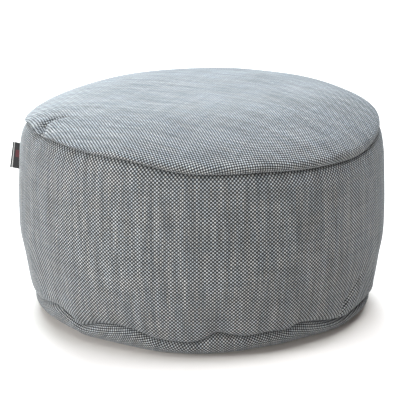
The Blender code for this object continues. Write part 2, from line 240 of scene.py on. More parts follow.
def along_fold(x, z, run):
    """For points measured from a fold's start: the share of its run beside them, and how far off they lie."""
    share = np.clip((x * run[0] + z * run[1]) / (run[0] ** 2 + run[1] ** 2), 0, 1)
    return share, np.hypot(x - share * run[0], z - share * run[1])


def side_fold_depth(azimuth, height):
    """How far the folds press the strip in, in metres: for each one its depth, times a trough of the distance
    from its straight run, times a taper that falls from its foot to its head."""
    total = np.zeros(np.broadcast(azimuth, height).shape)
    for row in SIDE_FOLDS:
        fold = dict(zip(SIDE_FOLD_COLUMNS, row))
        x = arc_length(np.mod(azimuth - fold["foot_azimuth"] + 180, 360) - 180)
        z = height / MM - fold["foot_height"]
        lean = arc_length(fold["head_azimuth"] - fold["foot_azimuth"])
        run = (lean, fold["head_height"] - fold["foot_height"])
        share, apart = along_fold(x, z, run)
        taper = (1 - share) ** FOLD_TAPER_POWER
        total += fold["depth"] * MM * trough(apart, fold["half_width"]) * taper
    return total


def top_fold_depth(x, y):
    """How far the tucks and dents press the top panel in, in metres: for each one its depth, times a trough
    of the distance from its straight run in the plan."""
    total = np.zeros(np.broadcast(x, y).shape)
    for row in TOP_FOLDS:
        fold = dict(zip(TOP_FOLD_COLUMNS, row))
        run = (fold["end_x"] - fold["start_x"], fold["end_y"] - fold["start_y"])
        share, apart = along_fold(x / MM - fold["start_x"], y / MM - fold["start_y"], run)
        total += fold["depth"] * MM * trough(apart, fold["half_width"])
    return total


def from_upright_seam(azimuth):
    """Metres round the belly from the nearer of the two upright seams."""
    return np.radians(np.abs(np.mod(azimuth + 90, 180) - 90)) * BELLY_RADIUS


def upright_crease(azimuth):
    """How far the two upright seams pull the strip in: a depth that dies away with the distance from them."""
    return UPRIGHT_CREASE * np.exp(-from_upright_seam(azimuth) / UPRIGHT_CREASE_REACH)


def side_surface(azimuth, share):
    """The strip's outside at each azimuth and share of the way up. The height goes straight from the lower
    seam to the top one. The radius does so too, plus the swell by its share, less a crease at each seam that
    dies away with the distance from it, less the folds and the upright seams, which fade at both seams."""
    s = section(azimuth)
    rise = s["top_height"] - s["low_height"]
    height = s["low_height"] + rise * share
    at, out = (column(SWELL, SWELL_COLUMNS, name) for name in SWELL_COLUMNS)
    swell = along(at, out, share)
    radius = s["low_radius"] + (s["top_radius"] - s["low_radius"]) * share + s["swell"] * swell
    radius = radius - TOP_CREASE * np.exp(-rise * (1 - share) / TOP_CREASE_REACH)
    radius = radius - s["low_crease"] * np.exp(-rise * share / LOW_CREASE_REACH)
    fade = np.minimum(1, FOLD_FADE_RATE * np.minimum(share, 1 - share) + FOLD_FADE_LEAST)
    radius = radius - side_fold_depth(azimuth, height) * fade - upright_crease(azimuth) * fade
    return radius, height


def top_surface(azimuth, lip, reach):
    """The top panel's outside. lip goes from 0 in the crease to 1 where the lip has rounded over, on an arc
    of an ellipse; reach then goes from 1 at the lip to 0 at the centre, on a flattened dome: the crown's rise
    times a root of 1 less a power of the reach."""
    s = section(azimuth)
    floor = s["top_radius"] - TOP_CREASE
    proud = s["top_radius"] + LIP_PROUD
    turn = lip * LIP_SWEEP
    radius = (floor + (proud - floor) * np.sin(turn)) * reach
    lip_height = s["top_height"] + s["lip_rise"] * (1 - np.cos(turn)) / (1 - np.cos(LIP_SWEEP))
    dome = np.clip(1 - reach ** s["crown_power"], 0, 1) ** (1 / CROWN_FALL_POWER)
    height = lip_height + (APEX_HEIGHT - lip_height) * dome
    return radius, height


def base_surface(azimuth, drop):
    """The rim of the base, from drop 0 in the lower crease to 1 at the floor, on a quarter of a squarish
    ellipse, less the crease at the seam."""
    s = section(azimuth)
    height = s["low_height"] * (1 - drop)
    run = np.clip(1 - drop**BASE_RIM_POWER, 0, 1) ** (1 / BASE_RIM_POWER)
    radius = s["foot_radius"] + (s["low_radius"] - s["foot_radius"]) * run
    radius = radius - s["low_crease"] * np.exp(-s["low_height"] * drop / RIM_CREASE_REACH)
    return radius, height


# The weave: square floats of light and dark yarn by turns, CELL wide, raised in their middle. The filling
# draws the strip out round the belly, so CELLS_ROUND of them go all the way round.
CELL = 0.00288
CELLS_ROUND = 596
PER_DEGREE = CELL * CELLS_ROUND / 360
RELIEF = 0.00035
TOP_TURN = -27.5
BASE_TURN = 4.0
EDGE_CLEAR = 0.3 * CELL
TOP_HALF = 0.3

# Two points of a patch count as one within SAME_POINT cells, and an edge is sharp from SHARP_ANGLE degrees.
SAME_POINT = 1e-7
SHARP_ANGLE = 60

# Gathers across the seams. Each row is a wave: how often it goes round the pouf, where it starts in degrees,
# and its share of the height. The sway makes them swell and sink slowly round the pouf.
PUCKER_WAVES = ((47, 0, 1.0), (71, 50, 1.0), (113, 20, 0.8))
PUCKER_SWAY = (5, 30, 0.4)
PUCKER_HEIGHT = 0.00022
PUCKER_REACH = 0.012

# Dents of the slack cloth. Each row is a wave: how fast it runs along x, y and z, and where it starts.
SLACK_WAVES = ((23, 0, 17, 1.0), (0, 19, -13, 0.4), (41, -29, 37, 0.0))
SLACK_DENT = 0.0006
SLACK_RIPPLE = 0.0003

# Rows of points over the lip and the rim, and the length of cloth over each in metres. The relief, the dents
# and the gathers fade out towards the seams, at these rates on the lip and the rim and over these distances
# on the strip.
LIP_ROWS = 13
LIP_LENGTH = 0.014
LIP_RELIEF_RATE = 2.0
LIP_PUCKER_RATE = 3.0
RIM_ROWS = 28
RIM_ROW_POWER = 1.15
RIM_LENGTH = 0.03
RIM_FADE_RATE = 6.0
STRIP_RELIEF_FADE = 0.004
STRIP_PUCKER_FADE = 0.002

# Rings of points on the hidden faces behind the seams and on the flat underside, as shares of the radius.
LEVEL_REACH = (0.97, 0.85, 0.5)
UNDERSIDE_REACH = (0.96, 0.85, 0.55, 0.25)

# Places in the unit square of the bake. A disc's outside fills it and its hidden face takes a corner. The
# strip's outside lies there in three lengths, and its hidden faces and its end wall beside them.
TOP_SPREAD = 0.5 / 0.32
BASE_SPREAD = 0.5 / 0.33
DISC_HIDDEN_MIDDLE = 0.925
DISC_HIDDEN_SCALE = 0.07 / 0.31
STRIP_CORNERS = ((0.01, 0.01), (0.51, 0.01), (0.01, 0.51))
STRIP_LENGTH_PLACE = 0.48
STRIP_HIDDEN_SCALE = 0.24 / 0.65
STRIP_LOW_MIDDLE = (0.63, 0.63)
STRIP_TOP_MIDDLE = (0.88, 0.88)
STRIP_WALL_FOOT = (0.88, 0.52)


def seam_puckers(azimuth, distance):
    """Small gathers across a seam: waves round the pouf, times a slow sway round it, dying away with the
    distance from the seam."""
    waves = sum(share * np.sin(np.radians(azimuth * count + start)) for count, start, share in PUCKER_WAVES)
    count, start, share = PUCKER_SWAY
    sway = 1 - share + share * np.sin(np.radians(azimuth * count + start))
    return PUCKER_HEIGHT * waves * sway * np.exp(-distance / PUCKER_REACH)


def slack(x, y, z):
    """Broad shallow dents of the loose filling, in metres: the product of two slow waves of the place, plus a
    third wave."""
    first, second, third = (np.sin(a * x + b * y + c * z + start) for a, b, c, start in SLACK_WAVES)
    return SLACK_DENT * first * second + SLACK_RIPPLE * third


def floats(u, v):
    """Height of the weave's floats: the product of two sines without its sign, which is 1 in the middle of
    each cell and 0 on its edges."""
    return np.abs(np.sin(np.pi * u / CELL) * np.sin(np.pi * v / CELL))


def turned(x, y, degrees):
    """The plan's coordinates along threads that are turned by so many degrees from +X."""
    c, s = np.cos(np.radians(degrees)), np.sin(np.radians(degrees))
    return x * c + y * s, y * c - x * s


def lattice(low, high):
    """Corners and middles of the cells between two corners of the plane."""
    i = np.arange(np.floor(low[0] / CELL), np.ceil(high[0] / CELL) + 1)
    j = np.arange(np.floor(low[1] / CELL), np.ceil(high[1] / CELL) + 1)
    a, b = np.meshgrid(i, j)
    corners = np.stack([a.ravel(), b.ravel()], 1)
    return np.concatenate([corners, corners + 0.5]) * CELL


def triangles_in(loop, inner):
    """Triangles over a closed loop of plane points and the points inside it, numbered in that order."""
    points = np.concatenate([loop, inner]) / CELL
    edge = [list(range(len(loop)))]
    verts, _, faces, *_ = delaunay_2d_cdt([Vector(p) for p in points], [], edge, 1, SAME_POINT, False)
    if len(verts) != len(points):
        raise ValueError("two points of a patch fell together")
    return np.array(faces)


def strip(a, b, closed):
    """Triangles between two rows of vertex numbers, both split along the same diagonal."""
    n = len(a) if closed else len(a) - 1
    i = np.arange(n)
    j = (i + 1) % len(a)
    one = np.stack([a[i], a[j], b[j]], 1)
    two = np.stack([a[i], b[j], b[i]], 1)
    return np.concatenate([one, two])


def fan(row, tip, closed):
    """Triangles from a row of vertex numbers to one point."""
    n = len(row) if closed else len(row) - 1
    i = np.arange(n)
    return np.stack([row[i], row[(i + 1) % len(row)], np.full(n, tip)], 1)


def mean_height(name):
    """The mean height of a seam."""
    return float(np.mean(section(np.arange(0, 360, 5.0))[name]))


class Surface:
    """Points with their weave and bake coordinates, and triangles in zones, which become one piece."""

    def __init__(self):
        self.points, self.weave, self.raise_by, self.faces, self.zones = [], [], [], [], []
        self.count = 0

    def add(self, points, weave, raise_by):
        """Adds points, their weave coordinates in metres and how far they rise along their normals."""
        points = np.asarray(points, float).reshape(-1, 3)
        weave = np.stack(np.broadcast_arrays(*weave), -1).reshape(-1, 2)
        self.points.append(points)
        self.weave.append(np.broadcast_to(weave, (len(points), 2)))
        self.raise_by.append(np.broadcast_to(raise_by, len(points)))
        self.count += len(points)
        return np.arange(self.count - len(points), self.count)

    def face(self, triangles, zone):
        """Adds triangles, all in one zone or each in its own."""
        self.faces.append(np.asarray(triangles))
        self.zones.append(np.full(len(triangles), zone) if np.isscalar(zone) else zone)

    def build(self, name, bake):
        """The mesh object: normals outwards, points raised, and both UV maps written. bake gives, for each
        zone, the place of every point in the unit square."""
        points = np.concatenate(self.points)
        faces = np.concatenate(self.faces)
        zones = np.concatenate(self.zones)
        mesh = bpy.data.meshes.new(name)
        mesh.from_pydata(points, [], faces.tolist())
        work = bmesh.new()
        work.from_mesh(mesh)
        bmesh.ops.recalc_face_normals(work, faces=work.faces)
        work.to_mesh(mesh)
        work.free()
        normals = np.empty(len(points) * 3)
        mesh.vertices.foreach_get("normal", normals)
        points = points + normals.reshape(-1, 3) * np.concatenate(self.raise_by)[:, None]
        mesh.vertices.foreach_set("co", points.ravel())
        corner = np.empty(len(mesh.loops), int)
        mesh.loops.foreach_get("vertex_index", corner)
        zone = np.repeat(zones, 3)
        places = np.stack([bake[z](points) for z in range(zones.max() + 1)])
        for title, uv in (("OFBake", places[zone, corner]), ("weave", np.concatenate(self.weave)[corner])):
            mesh.uv_layers.new(name=title).data.foreach_set("uv", uv.astype(np.float32).ravel())
        mesh.uv_layers["OFBake"].active_render = True
        mesh.shade_smooth()
        mesh.set_sharp_from_angle(angle=np.radians(SHARP_ANGLE))
        mesh.update()
        made = bpy.data.objects.new(name, mesh)
        bpy.context.collection.objects.link(made)
        return made


def close_to_axis(surface, edge, height_name, shift, zone, closed):
    """The hidden face behind a seam, from its edge to a point on the axis. Each ring is the edge drawn in to
    a share of its radius, and its height above the mean shrinks with the square of that share."""
    points = np.concatenate(surface.points)[edge]
    level = mean_height(height_name) + shift
    before, rows = edge, []
    for reach in LEVEL_REACH:
        x, y = points[:, 0] * reach, points[:, 1] * reach
        row = surface.add(np.stack([x, y, level + (points[:, 2] - level) * reach**2], 1), (x, y), 0.0)
        surface.face(strip(before, row, closed), zone)
        before = row
        rows.append(row)
    tip = surface.add([(0.0, 0.0, level)], (0.0, 0.0), 0.0)[0]
    surface.face(fan(before, tip, closed), zone)
    return rows, tip


def disc_places(weaves, spread):
    """Places in the unit square for a disc: its outside by the weave, and its hidden face by the plan."""
    return (
        lambda p: 0.5 + weaves * spread,
        lambda p: DISC_HIDDEN_MIDDLE + p[:, :2] * DISC_HIDDEN_SCALE,
    )


def all_round():
    """Half a cell apart all the way round: the azimuths, and the directions outwards in the plan."""
    azimuth = np.arange(2 * CELLS_ROUND) * 180.0 / CELLS_ROUND
    return azimuth, np.stack([np.cos(np.radians(azimuth)), np.sin(np.radians(azimuth))], 1)


def top_piece():
    """The crowned disc. Inside its lip the points lie on the corners and middles of the weave's cells, and
    the lip goes down to the seam in rows."""
    azimuth, out = all_round()
    ring_radius, _ = top_surface(azimuth, 1.0, 1.0)
    ring = out * ring_radius[:, None]
    x, y = turned(*lattice((-TOP_HALF, -TOP_HALF), (TOP_HALF, TOP_HALF)).T, -TOP_TURN)
    angle = np.degrees(np.arctan2(y, x)) % 360
    full, _ = top_surface(angle, 1.0, 1.0)
    inside = np.hypot(x, y) < full - EDGE_CLEAR
    plane = np.concatenate([ring, np.stack([x, y], 1)[inside]])
    angle = np.concatenate([azimuth, angle[inside]])
    full = np.concatenate([ring_radius, full[inside]])
    reach = np.hypot(*plane.T) / full
    _, height = top_surface(angle, 1.0, np.clip(reach, 0, 1))
    points = np.column_stack([plane, height])
    surface = Surface()
    to_seam = full * (1 - reach) + LIP_LENGTH
    weave = turned(*plane.T, TOP_TURN)[::-1]
    lift = RELIEF * floats(*weave) - top_fold_depth(*plane.T)
    lift = lift + slack(*points.T) + seam_puckers(angle, to_seam)
    numbers = surface.add(points, weave, lift)
    surface.face(triangles_in(ring, plane[len(ring) :]), 0)
    rows = [numbers[: len(ring)]]
    arc, last = 0.0, points[: len(ring)]
    for lip in np.linspace(1, 0, LIP_ROWS + 1)[1:]:
        radius, height = top_surface(azimuth, lip, 1.0)
        row = np.column_stack([out * radius[:, None], height + (GAP / 2 if lip == 0 else 0)])
        arc = arc + np.linalg.norm(row - last, axis=1)
        last = row
        weave = turned(*(ring + out * arc[:, None]).T, TOP_TURN)[::-1]
        lift = (RELIEF * floats(*weave) + slack(*row.T)) * min(1, LIP_RELIEF_RATE * lip)
        gather = seam_puckers(azimuth, LIP_LENGTH * lip) - top_fold_depth(*row.T[:2])
        lift = lift + gather * min(1, LIP_PUCKER_RATE * lip)
        rows.append(surface.add(row, weave, lift))
    for a, b in zip(rows, rows[1:]):
        surface.face(strip(a, b, True), 0)
    close_to_axis(surface, rows[-1], "top_height", GAP / 2, 1, True)
    return surface.build("top_cloth", disc_places(np.concatenate(surface.weave), TOP_SPREAD))


def side_points(azimuth, share):
    """Points of the strip from its radius and height. At the upright seams y is exactly 0."""
    radius, height = side_surface(azimuth, share)
    x, y = radius * np.cos(np.radians(azimuth)), radius * np.sin(np.radians(azimuth))
    return np.stack([x, np.where(np.mod(azimuth, 180.0) == 0, 0.0, y), height], 1)


def side_piece(name, first):
    """Half of the strip, from the upright seam at the first azimuth to the other one. Its threads are upright
    and level: the weave runs with the azimuth one way and with the height the other way."""
    azimuth = first + np.arange(CELLS_ROUND + 1) * 180.0 / CELLS_ROUND
    s = section(azimuth)
    low = np.stack([azimuth * PER_DEGREE, s["low_height"]], 1)
    top = np.stack([azimuth * PER_DEGREE, s["top_height"]], 1)
    steps = int(round((top[0, 1] - low[0, 1]) / (CELL / 2)))
    up = np.arange(1, steps)[:, None] / steps
    right = low[-1] + (top[-1] - low[-1]) * up
    left = (low[0] + (top[0] - low[0]) * up)[::-1]
    loop = np.concatenate([low, right, top[::-1], left])
    across, upright = len(low), len(right)
    foot = slice(0, across)
    head = slice(across + upright, 2 * across + upright)
    grid = lattice(low.min(0), top.max(0))
    at = section(grid[:, 0] / PER_DEGREE)
    keep = (grid[:, 1] > at["low_height"] + EDGE_CLEAR) & (grid[:, 1] < at["top_height"] - EDGE_CLEAR)
    keep &= (grid[:, 0] > low[0, 0] + EDGE_CLEAR) & (grid[:, 0] < low[-1, 0] - EDGE_CLEAR)
    plane = np.concatenate([loop, grid[keep]])
    angle = plane[:, 0] / PER_DEGREE
    ends = np.ones(upright)
    angle[: len(loop)] = np.concatenate([azimuth, ends * azimuth[-1], azimuth[::-1], ends * azimuth[0]])
    at = section(angle)
    rise = at["top_height"] - at["low_height"]
    share = np.clip((plane[:, 1] - at["low_height"]) / rise, 0, 1)
    share[foot], share[head] = 0, 1
    points = side_points(angle, share)
    points[foot, 2] += GAP / 2
    points[head, 2] -= GAP / 2
    to_seam = np.minimum(share, 1 - share) * rise
    fade = np.clip(to_seam / STRIP_RELIEF_FADE, 0, 1)
    fade = fade * np.clip(from_upright_seam(angle) / STRIP_RELIEF_FADE, 0, 1)
    lift = (RELIEF * floats(*plane.T) + slack(*points.T)) * fade
    lift = lift + seam_puckers(angle, to_seam) * np.clip(to_seam / STRIP_PUCKER_FADE, 0, 1)
    surface = Surface()
    numbers = surface.add(points, plane.T, lift)
    faces = triangles_in(loop, plane[len(loop) :])
    third = 180.0 / len(STRIP_CORNERS)
    surface.face(faces, np.clip((angle[faces].mean(1) - first) // third, 0, 2).astype(int))
    low_rows, low_tip = close_to_axis(surface, numbers[foot], "low_height", GAP / 2, 3, False)
    top_edge = numbers[head][::-1]
    top_rows, top_tip = close_to_axis(surface, top_edge, "top_height", -GAP / 2, 4, False)
    wall = [numbers[across - 1], *numbers[across : across + upright], top_edge[-1]]
    wall += [r[-1] for r in top_rows] + [top_tip] + [r[0] for r in top_rows[::-1]]
    wall += [top_edge[0], *numbers[2 * across + upright : len(loop)], numbers[0]]
    wall += [r[0] for r in low_rows] + [low_tip] + [r[-1] for r in low_rows[::-1]]
    wall = np.array(wall)
    outline = np.concatenate(surface.points)[wall][:, [0, 2]]
    surface.face(wall[triangles_in(outline, np.zeros((0, 2)))], 5)
    return surface.build(name, strip_places(np.concatenate(surface.weave), first, third))


def strip_places(weaves, first, third):
    """Places in the unit square for half of the strip: its three lengths by the weave, its two hidden faces
    by the plan, and its end wall by x and z."""

    def length(k):
        start = np.array([(first + k * third) * PER_DEGREE - CELL, 0.0])
        scale = STRIP_LENGTH_PLACE / (third * PER_DEGREE + 2 * CELL)
        return lambda p: np.array(STRIP_CORNERS[k]) + (weaves - start) * scale

    def flat(middle, axes):
        return lambda p: np.array(middle) + p[:, axes] * STRIP_HIDDEN_SCALE

    hidden = ((STRIP_LOW_MIDDLE, [0, 1]), (STRIP_TOP_MIDDLE, [0, 1]), (STRIP_WALL_FOOT, [0, 2]))
    return [length(k) for k in range(len(STRIP_CORNERS))] + [flat(*face) for face in hidden]


def base_piece():
    """The base: its rim rolls up from the floor to the lower seam in rows, and its underside is flat."""
    azimuth, out = all_round()
    surface = Surface()
    rows = []
    foot, _ = base_surface(azimuth, 1.0)
    arc, last = 0.0, None
    for drop in 1 - np.linspace(0, 1, RIM_ROWS + 1) ** RIM_ROW_POWER:
        radius, height = base_surface(azimuth, drop)
        row = np.column_stack([out * radius[:, None], height - (GAP / 2 if drop == 0 else 0)])
        arc = arc + (0.0 if last is None else np.linalg.norm(row - last, axis=1))
        last = row
        weave = turned(*(out * (foot + arc)[:, None]).T, BASE_TURN)
        fade = min(1, RIM_FADE_RATE * drop) * min(1, RIM_FADE_RATE * (1 - drop))
        lift = RELIEF * floats(*weave) + slack(*row.T) + seam_puckers(azimuth, RIM_LENGTH * drop)
        rows.append(surface.add(row, weave, lift * fade))
    for a, b in zip(rows, rows[1:]):
        surface.face(strip(a, b, True), 0)
    before = rows[0]
    ring = np.concatenate(surface.points)[before]
    for reach in UNDERSIDE_REACH:
        flat = ring * np.array([reach, reach, 0.0])
        row = surface.add(flat, turned(*flat[:, :2].T, BASE_TURN), 0.0)
        surface.face(strip(before, row, True), 0)
        before = row
    middle = surface.add([(0.0, 0.0, 0.0)], (0.0, 0.0), 0.0)[0]
    surface.face(fan(before, middle, True), 0)
    close_to_axis(surface, rows[-1], "low_height", -GAP / 2, 1, True)
    return surface.build("base_cloth", disc_places(np.concatenate(surface.weave), BASE_SPREAD))


# Materials


class Nodes:
    """A material's node tree, with short ways to add nodes."""

    def __init__(self, name):
        self.material = bpy.data.materials.new(name)
        self.material.use_nodes = True
        self.tree = self.material.node_tree
        self.shader = self.tree.nodes["Principled BSDF"]

    def node(self, kind, **values):
        """A new node with some of its settings."""
        made = self.tree.nodes.new(kind)
        for key, value in values.items():
            setattr(made, key, value)
        return made

    def join(self, source, target):
        """Links a socket to a target, or sets a plain number on it."""
        if isinstance(source, (int, float)):
            target.default_value = source
        else:
            self.tree.links.new(source, target)

    def colour(self, source):
        """Links a colour to the shader."""
        self.join(source, self.shader.inputs["Base Color"])

    def plain(self, values):
        """Sets plain numbers and colours on the shader's own sockets."""
        for name, value in values.items():
            self.shader.inputs[name].default_value = value

    def math(self, operation, *inputs):
        """One step of sums on numbers or sockets."""
        made = self.node("ShaderNodeMath", operation=operation)
        for value, socket in zip(inputs, made.inputs):
            self.join(value, socket)
        return made.outputs[0]

    def ramp(self, value, low, high, start=0.0, end=1.0):
        """The value carried smoothly from start to end between low and high."""
        made = self.node("ShaderNodeMapRange", interpolation_type="SMOOTHSTEP")
        for given, socket in zip((value, low, high, start, end), made.inputs):
            self.join(given, socket)
        return made.outputs[0]

    def mix(self, share, one, two):
        """A mix of two colours, each a socket or a tuple."""
        made = self.node("ShaderNodeMix", data_type="RGBA")
        self.join(share, made.inputs["Factor"])
        colour = [s for s in made.inputs if s.type == "RGBA"]
        for given, socket in zip((one, two), colour):
            if isinstance(given, tuple):
                socket.default_value = (*given, 1.0)
            else:
                self.join(given, socket)
        return [s for s in made.outputs if s.type == "RGBA"][0]

    def varied(self, colour, least, *parts):
        """The colour times a factor: a plain number plus each part's value times its depth."""
        factor = least
        for value, depth in parts:
            factor = self.math("ADD", self.math("MULTIPLY", value, depth), factor)
        made = self.node("ShaderNodeVectorMath", operation="SCALE")
        self.join(colour, made.inputs[0])
        self.join(factor, made.inputs["Scale"])
        return made.outputs[0]

    def spot(self, x, y):
        """Two numbers as one place."""
        made = self.node("ShaderNodeCombineXYZ")
        self.join(x, made.inputs[0])
        self.join(y, made.inputs[1])
        return made.outputs[0]

    def weave(self):
        """The place in the weave: the whole, and its two parts."""
        whole = self.node("ShaderNodeUVMap", uv_map="weave").outputs[0]
        parts = self.node("ShaderNodeSeparateXYZ")
        self.join(whole, parts.inputs[0])
        return whole, parts.outputs[0], parts.outputs[1]

    def noise(self, vector, scale, detail=2.0):
        """Smooth noise of a place."""
        made = self.node("ShaderNodeTexNoise")
        made.inputs["Scale"].default_value = scale
        made.inputs["Detail"].default_value = detail
        self.join(vector, made.inputs["Vector"])
        return made.outputs[0]

    def chance(self, value):
        """One chance number from 0 to 1 for each whole value."""
        made = self.node("ShaderNodeTexWhiteNoise", noise_dimensions="1D")
        self.join(value, made.inputs["W"])
        return made.outputs["Value"]

    def bump(self, height, strength, distance):
        """Fine relief on the shader's normal."""
        made = self.node("ShaderNodeBump")
        made.inputs["Strength"].default_value = strength
        made.inputs["Distance"].default_value = distance
        self.join(height, made.inputs["Height"])
        self.join(made.outputs[0], self.shader.inputs["Normal"])


# The upright yarn is light and the level yarn dark. Each thread drifts between a cool and a warm shade, and
# its brightness is the least one plus its drift and its chance number, each times a depth. Bundles of threads
# make streaks.
YARN_COLUMNS = ("cool", "warm", "least", "drift_depth", "chance_depth", "streak_depth")
YARNS = (
    ((0.270, 0.292, 0.308), (0.283, 0.284, 0.277), 0.60, 0.6, 0.2, 1.1),
    ((0.013, 0.016, 0.019), (0.017, 0.016, 0.015), 0.25, 1.1, 0.5, 0.5),
)
# Painted shade: the near-black colour put into the grooves between the floats, where shade falls.
PAINTED_GROOVE_SHADE = (0.008, 0.009, 0.010)
THREAD_STEP = 7.31
YARN_STEP = 137.0
DRIFT_LENGTH = 0.045
DRIFT_TURN = (0.35, 0.65)
STREAK_LENGTH = 0.085
STREAK_THREADS = 3.0

# Where a float turns from dark to light, and how far the painted shade in the groove between two floats
# reaches, both on the product of the two threads' sines.
FLOAT_TURN = (-0.10, 0.45)
PAINTED_GROOVE_SHADE_REACH = (0.0, 0.20)

# In the middle of the top panel the light and dark yarns run together into an even tone, and the painted
# groove shade is left out, so it is lighter there: a painted sheen haze, as the cloth shows at a grazing
# view.
CALM_MIDDLE = (-0.04, 0.16, 0.35)
CALM_REACH = (0.22, 0.38)
CALM_SHARE = 0.65
CALM_HAZE_LIGHT = 0.51

# Clouds of shade over the cloth, fine fibres along the floats, and the cloth's gloss.
CLOUD_SCALE = 14.0
CLOUD_DEPTH = 0.18
FIBRE_SCALE = 1900.0
FIBRE_DETAIL = 3.0
FIBRE_DEPTH = 0.25
FIBRE_HEIGHT = 0.25
FIBRE_RANGE = (0.2, 0.8)
ROUGHNESS_RANGE = (0.72, 0.9)
FLOAT_ROUNDING = 0.5
CLOTH_BUMP = (0.5, 0.0006)
CLOTH_GLOSS = {
    "Sheen Weight": 0.12,
    "Sheen Roughness": 0.45,
    "Sheen Tint": (0.88, 0.95, 1.0, 1.0),
    "Specular IOR Level": 0.3,
}


def woven_cloth(name, seed, calm_middle):
    """Two-tone cloth. The sine of each thread's place times the other's is positive on light floats and
    negative on dark ones. Each thread has its own drifting shade, bundles of them make long streaks, and fine
    fibres run along the floats."""
    m = Nodes(name)
    whole, u, v = m.weave()
    u, v = (m.math("DIVIDE", part, CELL) for part in (u, v))
    wave = m.math("MULTIPLY", *(m.math("SINE", m.math("MULTIPLY", part, np.pi)) for part in (u, v)))
    raised = m.math("ABSOLUTE", wave)
    light = m.ramp(wave, *FLOAT_TURN)
    unshaded_share = m.ramp(raised, *PAINTED_GROOVE_SHADE_REACH)
    place = m.node("ShaderNodeTexCoord").outputs["Object"]
    # Painted sheen haze: in the middle of the top the floats go to an even mix of light and dark, without
    # groove shade.
    if calm_middle:
        away = m.node("ShaderNodeVectorMath", operation="DISTANCE")
        m.join(place, away.inputs[0])
        away.inputs[1].default_value = CALM_MIDDLE
        calm = m.ramp(away.outputs["Value"], *CALM_REACH, CALM_SHARE, 0.0)
        light = m.ramp(calm, 0.0, 1.0, light, CALM_HAZE_LIGHT)
        unshaded_share = m.ramp(calm, 0.0, 1.0, unshaded_share, 1.0)
    yarns, streaks = [], []
    for k, (across, along_thread) in enumerate(((u, v), (v, u))):
        yarn = dict(zip(YARN_COLUMNS, YARNS[k]))
        number = m.math("ADD", m.math("FLOOR", across), YARN_STEP * k + seed)
        number = m.math("MULTIPLY", number, THREAD_STEP)
        drift = m.noise(m.spot(number, m.math("MULTIPLY", along_thread, CELL / DRIFT_LENGTH)), 1.0, 1.0)
        shade = m.mix(m.ramp(drift, *DRIFT_TURN), yarn["cool"], yarn["warm"])
        parts = ((drift, yarn["drift_depth"]), (m.chance(number), yarn["chance_depth"]))
        yarns.append(m.varied(shade, yarn["least"], *parts))
        bundle = m.math("ADD", m.math("DIVIDE", across, STREAK_THREADS), seed)
        streak = m.noise(m.spot(bundle, m.math("MULTIPLY", along_thread, CELL / STREAK_LENGTH)), 1.0, 2.0)
        streaks.append((streak, yarn["streak_depth"]))
    cloud = m.noise(place, CLOUD_SCALE)
    fibres = m.noise(whole, FIBRE_SCALE, FIBRE_DETAIL)
    light_yarn, dark_yarn = yarns
    body = m.mix(light, dark_yarn, light_yarn)
    # Painted shade: the grooves between the floats take the near-black groove colour.
    body = m.mix(unshaded_share, PAINTED_GROOVE_SHADE, body)
    for parts in (streaks, ((cloud, CLOUD_DEPTH), (fibres, FIBRE_DEPTH))):
        body = m.varied(body, 1 - sum(depth for _, depth in parts) / 2, *parts)
    m.colour(body)
    rounded = m.math("POWER", raised, FLOAT_ROUNDING)
    m.bump(m.math("ADD", rounded, m.math("MULTIPLY", fibres, FIBRE_HEIGHT)), *CLOTH_BUMP)
    m.join(m.ramp(fibres, *FIBRE_RANGE, *ROUGHNESS_RANGE), m.shader.inputs["Roughness"])
    m.plain(CLOTH_GLOSS)
    return m.material


def dressed(piece, material, node):
    """Gives a piece its material, hangs it under the body's root and hides the solid that it stands in for.
    """
    piece.data.materials.append(material)
    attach(piece, "root")
    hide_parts(node)


# The label: a strip folded once, sewn in by its two ends. Its places run from 0 to 1 along the strip, with
# the fold at 0.5, and from 0 at its top to 1 at its bottom.
LABEL_SHEET = 0.00045
LABEL_ROWS = 25
LABEL_COLUMNS = 13
LABEL_TURNS = 9
LABEL_PLACES = (((0.02, 0.02), (0.46, 0.92)), ((0.52, 0.02), (0.46, 0.92)), ((0.02, 0.96), (0.9, 0.02)))
LABEL_EDGE = (0.42, 0.42, 0.42)
LABEL_BAND = (0.070, 0.006, 0.011)
LABEL_GROUND = (0.004, 0.004, 0.005)
LABEL_LINE_PLACE = 0.095
LABEL_LINE_HALF = (0.016, 0.026)
LABEL_BAND_MIDDLE = 0.42
LABEL_BAND_HALF = (0.13, 0.15)
LABEL_BAND_START = (0.20, 0.22)
LABEL_RIBS = 340.0
LABEL_FINE_RIBS = 420.0
LABEL_FINE_SHARE = 0.5
LABEL_BUMP = (0.4, 0.0001)
LABEL_GLOSS = {"Roughness": 0.62, "Sheen Weight": 0.05}


def label_root(height):
    """A point of the label's root, just outside the floor of the left upright crease."""
    s = section(np.array(LABEL_AZIMUTH))
    share = (height - s["low_height"]) / (s["top_height"] - s["low_height"])
    radius, _ = side_surface(np.array(LABEL_AZIMUTH), share)
    return np.array([-float(radius) - LABEL_SEAT, 0.0, height])


